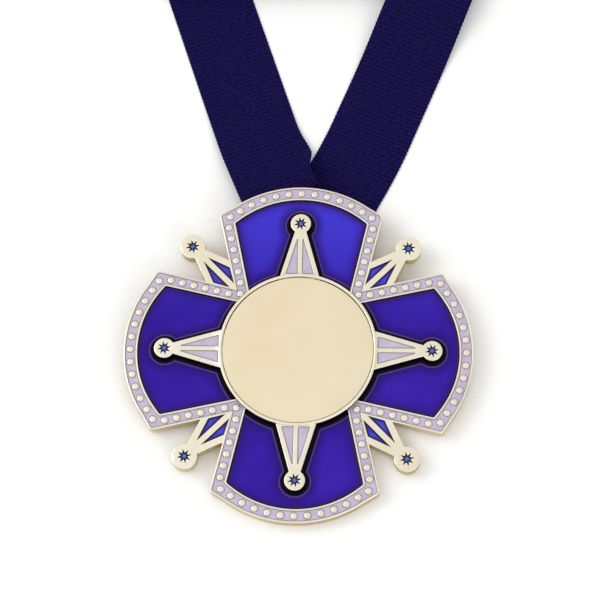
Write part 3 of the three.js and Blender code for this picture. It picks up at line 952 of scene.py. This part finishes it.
def soldered_tube():
    r, bore, half = TUBE["r"], TUBE["bore"], TUBE["length"] / 2
    edge = 0.15
    profile = [(bore, -half + edge), (bore + edge, -half), (r - edge, -half), (r, -half + edge)]
    profile += [(radius, -z) for radius, z in profile[::-1]]
    body = Body()
    rings = [body.ring(circle(radius, 32), z) for radius, z in profile]
    for lower, upper in zip(rings, rings[1:] + rings[:1]):
        body.strip(lower, upper)
    along_x = AT_TUBE @ Matrix.Rotation(QUARTER, 4, "Y")
    tube = mesh_object("soldered_tube", body, along_x, [GOLD_REVERSE])
    finished(tube, ["loop_tube"])


def wire_loop():
    """A round wire bent into a rectangle, leaning a little back so that it clears the cross."""
    side, reach = LOOP["inside"] / 2 + LOOP["wire"], LOOP["reach"]
    corners = [(side, 0), (side, reach), (-side, reach), (-side, 0)]
    bends = [rounded(corners[k - 1], corners[k], corners[(k + 1) % 4], LOOP["corner"], 8) for k in range(4)]
    path = resampled(np.vstack(bends), 1.5)
    forward = unit(np.roll(path, -1, 0) - np.roll(path, 1, 0))
    across = np.stack([forward[:, 1], -forward[:, 0]], 1)
    t = np.linspace(0, 2 * math.pi, 16, endpoint=False)
    body = Body()
    rings = [
        body.add(np.column_stack([p + np.outer(np.cos(t) * LOOP["wire"], a), np.sin(t) * LOOP["wire"]]))
        for p, a in zip(path, across)
    ]
    for ring, following in zip(rings, rings[1:] + rings[:1]):
        body.strip(following, ring)
    lean = Matrix.Rotation(math.atan2(LOOP["drop"], reach), 4, "X")
    loop = mesh_object("wire_loop", body, AT_TUBE @ lean, [GOLD_REVERSE])
    finished(loop, ["ribbon_loop"], "ribbon_loop")


# ---- ribbon ----

RIBBON_WIDTH = 25.0
RIB_PITCH = 1.3
YARN_PITCH = 0.42
ROWS_PER_RIB = 6
HALF_THICK = 0.16  # in the valleys between the ribs
RIB_HEIGHT = 0.15
SELVEDGE = 0.12  # how much narrower the ribbon is in its valleys, on each side
LAYER = 0.72  # from one run of the folded stack to the next
RUNS = 7
SUNK = 0.6  # how far the stack's runs sink past the left strap
TABLE_GAP = 0.33  # lowest height of the ribbon's middle above the table
BAR_Y = TUBE["y"] + LOOP["reach"]
BAR_Z = TUBE["z"] + LOOP["drop"]
BAR_TURN = 1.225  # radius of the ribbon's middle round the bar
NOTCH_END = 66  # where LEFT_AT and RIGHT_AT are read
LEFT_LEAN, RIGHT_LEAN = 0.3473, 0.397  # slants of the straps' straight parts
LEFT_AT, RIGHT_AT = -12.57, 18.0  # their centre lines at NOTCH_END
LEFT_BEND = [(33.0, 1.3), (42, -2.12), (52.4, -6.75), (60, -10.0), (68, -13.27), (76, -16.04)]
RIGHT_BEND = [(33.0, 2.76), (42, 6.18), (52.4, 11.2), (60, 15.1), (68, 18.79), (76, 21.97)]
LIP = {"wide": 6.0, "curl": 0.27, "from": 50.9, "full": 53.6, "easing": 58.0, "to": 67.0, "flare": 0.8}
STACK_Y = 132.6
STACK_LEFT, STACK_RIGHT = -45.0, 53.0
LAP = (-10.0, 4.0)  # the sewn lap in the top run, along X


def smooth(value, low, high):
    t = np.clip((value - low) / (high - low), 0, 1)
    return t * t * (3 - 2 * t)


def medal_height(y, z):
    """Height above the table of the medal's own plane z, at y."""
    return medal_origin.z / MM + y * math.sin(TILT) + z * math.cos(TILT)


def through(places, y):
    """A smooth curve through (y, value) places, read at y."""
    at, value = (np.array(v, float) for v in zip(*places))
    slope = np.gradient(value, at)
    k = np.clip(np.searchsorted(at, y) - 1, 0, len(at) - 2)
    step = at[k + 1] - at[k]
    t = np.clip((y - at[k]) / step, 0, 1)
    ends = value[k] * (1 + 2 * t) * (1 - t) ** 2 + value[k + 1] * t * t * (3 - 2 * t)
    return ends + slope[k] * step * t * (1 - t) ** 2 + slope[k + 1] * step * t * t * (t - 1)


class Strip:
    """A ribbon laid out panel by panel. Each panel is flat or gently curved, and ends in a fold."""

    def __init__(self, start, forward):
        self.panels = []
        self.at = np.array(start, float)
        self.forward = np.array(forward, float)
        self.hand = 1.0
        self.length = 0.0

    def line(self, end_x, height):
        """A panel that goes straight on, along X, to end_x."""
        self.panel([self.at, (end_x, self.at[1])], height)

    def panel(self, path, height, curl=None):
        path = np.array(path, float)
        steps = np.linalg.norm(np.diff(path, axis=0), axis=1)
        at = self.length + np.concatenate([[0], np.cumsum(steps)])
        made = {"path": path, "s": at, "height": with_slope(height), "hand": self.hand}
        self.panels.append({**made, "curl": curl, "fold": None})
        self.at, self.length = path[-1], at[-1]
        self.forward = unit(path[-1] - path[-2])

    def fold(self, line_angle, radius):
        """Turns up and back over a fold line that crosses the centre here at the angle."""
        normal = np.array([-math.sin(line_angle), math.cos(line_angle)])
        normal = normal * math.copysign(1, normal @ self.forward)
        self.panels[-1]["fold"] = (normal, radius)
        self.at = self.at + math.pi * radius * normal
        self.forward = self.forward - 2 * (normal @ self.forward) * normal
        self.hand = -self.hand

    def place(self, s, w):
        """Where points of the flat strip lie: their middle surface, and the ribbon's own normal."""
        out, up = np.zeros((len(s), 3)), np.zeros((len(s), 3))
        left = np.ones(len(s), bool)
        for panel in self.panels:
            flat, across = self.flat(panel, s, w)
            hand = panel["hand"]
            height, slope = panel["height"](flat)
            laid = np.column_stack([flat, height])
            facing = hand * unit(np.column_stack([-slope, np.ones(len(s))]))
            if panel["curl"]:
                laid, facing = panel["curl"](flat, across, laid, facing, hand, w)
            if not panel["fold"]:
                out[left], up[left] = laid[left], facing[left]
                break
            normal, radius = panel["fold"]
            beyond = (flat - panel["path"][-1]) @ normal
            before = left & (beyond <= 0)
            out[before], up[before] = laid[before], facing[before]
            turn = beyond / radius
            wraps = left & (beyond > 0) & (turn <= math.pi)
            foot = flat - beyond[:, None] * normal
            bent = foot + (radius * np.sin(turn))[:, None] * normal
            raised = panel["height"](foot)[0] + radius * (1 - np.cos(turn))
            out[wraps] = np.column_stack([bent, raised])[wraps]
            up[wraps] = (hand * np.column_stack([-np.sin(turn)[:, None] * normal, np.cos(turn)]))[wraps]
            left = left & (turn > math.pi)
        return out, up

    def flat(self, panel, s, w):
        """Points of the strip in the panel's plane, which goes on straight past both its ends."""
        path, at = panel["path"], panel["s"]
        k = np.clip(np.searchsorted(at, s) - 1, 0, len(at) - 2)
        forward = unit(np.diff(path, axis=0))
        corner = np.vstack([forward[:1], unit(forward[1:] + forward[:-1]), forward[-1:]])
        t = np.clip((s - at[k]) / (at[k + 1] - at[k]), 0, 1)[:, None]
        heading = unit(corner[k] * (1 - t) + corner[k + 1] * t)
        middle = path[k] + forward[k] * (s - at[k])[:, None]
        across = np.stack([-heading[:, 1], heading[:, 0]], 1) * panel["hand"]
        return middle + across * w[:, None], across


def strap_path(bend):
    """Centre line of a strap from the bar to the end of its bend, as points."""
    y = np.linspace(BAR_Y, bend[-1][0], 25)
    return np.stack([through(bend, y), y], 1)


def with_slope(height):
    """A height function of places that also gives its slope, by small differences."""
    def both(flat):
        e = 0.05
        here = height(flat[:, 0], flat[:, 1])
        dx = (height(flat[:, 0] + e, flat[:, 1]) - here) / e
        dy = (height(flat[:, 0], flat[:, 1] + e) - here) / e
        return here, np.stack([dx, dy], 1)
    return both


def run_height(level):
    """Height of one run of the stack; past the left strap it sinks onto the table."""
    return lambda x, y: TABLE_GAP + LAYER * level - SUNK * smooth(x, -17, 2)


def lap_height(x, y):
    """The top run, with the step of the sewn lap."""
    return run_height(RUNS)(x, y) + 0.55 * smooth(x, LAP[0] - 7, LAP[0] - 1)


def left_strap_height(x, y):
    """Under the arm it follows the medal's back, then it sinks to the table."""
    under = BAR_Z + BAR_TURN
    bar, edge = medal_height(BAR_Y, under), medal_height(ARM["apex"], under)
    places = [(20, bar), (BAR_Y, bar), (42, (bar + edge) / 2), (ARM["apex"], edge - CLEAR), (62, 2.55)]
    places += [(68, 1.6), (76, 0.72), (84, TABLE_GAP), (100, TABLE_GAP), (160, TABLE_GAP)]
    return np.maximum(through(places, y), TABLE_GAP)


def right_strap_height(x, y):
    """Flat on the table from the bar, then up onto the top of the stack."""
    top = TABLE_GAP + LAYER * (RUNS + 1) - SUNK
    places = [(20, TABLE_GAP), (BAR_Y, TABLE_GAP), (60, TABLE_GAP), (86, TABLE_GAP), (94, 0.12 * top)]
    places += [(102, 0.36 * top), (110, 0.74 * top), (116, 0.97 * top), (119, top), (160, top)]
    return np.maximum(through(places, y), TABLE_GAP)


def lip(flat, across, out, up, hand, from_centre):
    """Curls the free inner edge of the left strap upwards where it squeezes past the other at the notch."""
    right = across * np.sign(across[:, :1])
    reach = from_centre * np.sign(across[:, 0]) - (RIBBON_WIDTH / 2 - LIP["wide"])
    a, y = np.maximum(reach, 0), flat[:, 1]
    k = LIP["curl"] * smooth(y, LIP["from"], LIP["full"]) * (1 - smooth(y, LIP["easing"], LIP["to"])) + 1e-6
    swing = LIP["flare"] * np.exp(-(((y - 65) / 5) ** 2)) * (a / LIP["wide"]) ** 2
    out = out.copy()
    out[:, :2] -= right * (a - np.sin(k * a) / k - swing)[:, None]
    out[:, 2] += (1 - np.cos(k * a)) / k
    bent = np.sin(k * a)[:, None] * np.column_stack([right, np.zeros(len(a))])
    return out, unit(np.cos(k * a)[:, None] * up - hand * bent)


def ribbon_strip():
    """From the lap over the stack to the right strap, round the bar, back by the left one, and the runs."""
    turn = LAYER / 2
    crease = (math.atan2(-1, -RIGHT_LEAN) % (2 * math.pi)) / 2
    aside, back = math.pi * turn * math.sin(crease), math.pi * turn * math.cos(crease)
    strip = Strip((LAP[0], STACK_Y), (1, 0))
    strip.line(RIGHT_AT + (STACK_Y - back - NOTCH_END) * RIGHT_LEAN - aside, run_height(RUNS))
    strip.fold(crease, turn)
    strip.panel([strip.at, *strap_path(RIGHT_BEND)[::-1]], right_strap_height)
    strip.fold(0.0, BAR_TURN)
    crease = math.atan2(1, -LEFT_LEAN) / 2
    end_y = STACK_Y - math.pi * turn * math.cos(crease)
    end = (LEFT_AT - (end_y - NOTCH_END) * LEFT_LEAN, end_y)
    strip.panel([*strap_path(LEFT_BEND), end], left_strap_height, lip)
    strip.fold(crease, turn)
    for run in range(1, RUNS):
        strip.line(STACK_RIGHT if run % 2 else STACK_LEFT, run_height(run))
        strip.fold(QUARTER, turn)
    strip.line(LAP[1], lap_height)
    return strip


def neck_ribbon():
    strip = ribbon_strip()
    s = np.linspace(0, strip.length, int(strip.length / RIB_PITCH * ROWS_PER_RIB) + 1)
    rib = np.abs(np.cos(math.pi * s / RIB_PITCH)) ** 0.8
    share = np.array([-1, -0.985, -0.94, *np.linspace(-0.84, 0.84, 15), 0.94, 0.985, 1])
    plump = np.sqrt(np.clip(1 - np.abs(share) ** 24, 0.06, 1))
    half = RIBBON_WIDTH / 2 - SELVEDGE + 0.16 * rib
    grid_s = np.repeat(s, len(share))
    grid_w = (half[:, None] * share).ravel()
    middle, up = strip.place(grid_s, grid_w)
    thick = ((HALF_THICK + RIB_HEIGHT * rib)[:, None] * plump).reshape(-1, 1)
    body = Body()
    top = body.add(middle + up * thick).reshape(len(s), len(share))
    low = body.add(middle - up * thick).reshape(len(s), len(share))
    for a, b, c, d in (
        (top[:-1, :-1], top[1:, :-1], top[1:, 1:], top[:-1, 1:]),
        (low[:-1, :-1], low[:-1, 1:], low[1:, 1:], low[1:, :-1]),
        (top[:-1, 0], low[:-1, 0], low[1:, 0], top[1:, 0]),
        (top[:-1, -1], top[1:, -1], low[1:, -1], low[:-1, -1]),
        (top[0, :-1], top[0, 1:], low[0, 1:], low[0, :-1]),
        (top[-1, :-1], low[-1, :-1], low[-1, 1:], top[-1, 1:]),
    ):
        body.faces += np.stack([a.ravel(), b.ravel(), c.ravel(), d.ravel()], 1).tolist()
    body.looks = [0] * len(body.faces)
    cloth = np.column_stack([grid_s, grid_w, np.zeros(len(grid_s))])
    attributes = {"cloth": np.vstack([cloth, cloth]), "rib": np.tile(np.repeat(rib, len(share)), 2)}
    piece = mesh_object("neck_ribbon", body, TABLE, [grosgrain_look()], attributes, sharp=70)
    piece.modifiers.clear()
    nodes = ["ribbon_turn", "ribbon_strap_left", "ribbon_strap_right", "ribbon_folds"]
    finished(piece, nodes, "ribbon")


# ---- camera, light and floor ----

CAMERA = {"azimuth": 7.21, "elevation": 69.33, "roll": -6.18, "distance": 611.6, "lens": 124.14}
CAMERA_AIM = (-1.94, -28.6, 0.0)


def camera():
    azimuth, elevation, roll = (math.radians(CAMERA[k]) for k in ("azimuth", "elevation", "roll"))
    flat = math.cos(elevation)
    back = Vector((math.sin(azimuth) * flat, -math.cos(azimuth) * flat, math.sin(elevation)))
    level = Vector((math.cos(azimuth), math.sin(azimuth), 0))
    right = level * math.cos(roll) + back.cross(level) * math.sin(roll)
    data = bpy.data.cameras.new("camera")
    data.lens, data.sensor_width = CAMERA["lens"], 36
    data.clip_start, data.clip_end = 0.01, 20
    seen = linked("camera", data)
    turn = Matrix((right, back.cross(right), back)).transposed().to_4x4()
    place = (Vector(CAMERA_AIM) + back * CAMERA["distance"]) * MM
    seen.matrix_world = Matrix.Translation(place) @ turn
    bpy.context.scene.camera = seen


def lamp(name, place, size, power):
    """A rectangular lamp that points at the origin."""
    data = bpy.data.lights.new(name, "AREA")
    data.shape, data.size, data.size_y, data.energy = "RECTANGLE", *size, power
    made = linked(name, data)
    made.location = place
    made.rotation_euler = (-Vector(place)).to_track_quat("-Z", "Y").to_euler()


def studio():
    world = bpy.data.worlds.new("studio")
    world.use_nodes = True
    sky = world.node_tree.nodes["Background"]
    sky.inputs["Color"].default_value = (1.0, 0.995, 0.985, 1)
    sky.inputs["Strength"].default_value = 0.88
    bpy.context.scene.world = world
    lamp("key", (-0.8, 0.1, 0.8), (0.7, 0.6), 3.6)
    lamp("front", (0.6, -0.9, 0.6), (0.8, 0.5), 2.5)
    bpy.context.scene.view_settings.view_transform = "Standard"


def white_floor():
    look = Look("pale_floor", Roughness=0.7, Specular_IOR_Level=0.1)
    grey = look.mix(look.spread(look.noise(0.4)), (0.93, 0.93, 0.93), (0.95, 0.95, 0.95))
    mesh = bpy.data.meshes.new("floor")
    reach = 3.0
    corners = [(x * reach, y * reach, 0) for x, y in ((-1, -1), (1, -1), (1, 1), (-1, 1))]
    mesh.from_pydata(corners, [], [(0, 1, 2, 3)])
    mesh.materials.append(look.finish(Base_Color=grey))
    floor = linked("floor", mesh)


# ---- the whole scene ----

camera()
studio()
white_floor()
GOLD = gold("gold_plate", (247, 240, 222), (240, 230, 206), 0.32)
# A darker copy of the gold plate for the cross's outer walls: painted shade, as those walls face down and
# away from the light.
GOLD_SHADED_SIDE = gold("gold_side_painted_shade", (214, 196, 150), (190, 168, 118), 0.3)
GOLD_REVERSE = gold("gold_reverse", (236, 220, 182), (220, 202, 160), 0.32, 0.006)
DARK_WALL = dark_wall_look()
LILAC = lilac_enamel_look()
base_cross()
star_overlay()
arm_enamels()
border_enamel()
raised = (OVERLAY_TOP - 0.68, OVERLAY_TOP - 0.2, 0.1)
window_enamels("raised_ray_fill", "raised_ray_enamel", STRAIGHT, RAISED_WINDOW, raised, LILAC)
flush = (RAY_FLOOR + 0.02, RAY_ENAMEL, 0.18)
bright = ray_enamel_look()
window_enamels("ray_fill", "ray_enamel", SLANTED, DIAGONAL_WINDOW, flush, bright)
star_look = tip_enamel_look()
tip_enamels(STRAIGHT, RAISED["tip"], OVERLAY_TOP, star_look)
tip_enamels(SLANTED, DIAGONAL["tip"], BASE_TOP, star_look)
centre_disc()
rivets()
soldered_tube()
wire_loop()
neck_ribbon()
